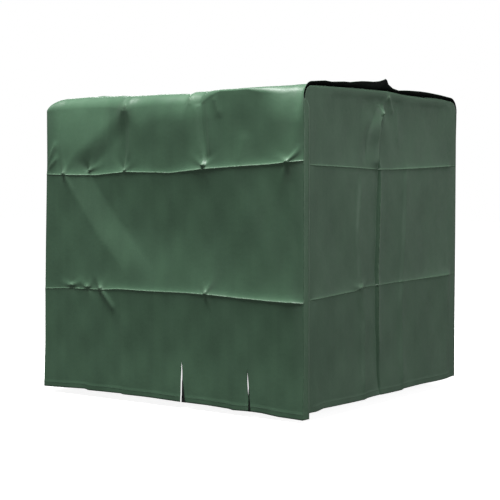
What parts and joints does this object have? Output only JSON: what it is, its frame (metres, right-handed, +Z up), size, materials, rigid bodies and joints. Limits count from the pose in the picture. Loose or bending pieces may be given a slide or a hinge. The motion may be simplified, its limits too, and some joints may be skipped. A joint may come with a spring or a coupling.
{
  "type": "water tank cover",
  "caption": "Fitted box-shaped cloth cover, open at the bottom, that hangs over a cube water tank, with a tap flap between slits in its front hem.",
  "frame": {"origin": "under the middle of the cover, at the lowest point of its hem", "axes": "+X along the front wall towards the lifted end, +Y from the front wall to the back wall, +Z up"},
  "size_m": [1.2337, 1.1241, 1.1833],
  "materials": {
    "wrap_cloth": "coated, semi-gloss, dark green outside, black inside",
    "end_cloth": "coated, semi-gloss, dark green outside, black inside"
  },
  "bodies": {
    "root": {"wrap": "wrap_cloth", "near_end_panel": "end_cloth", "far_end_panel": "end_cloth"}
  },
  "joints": []
}
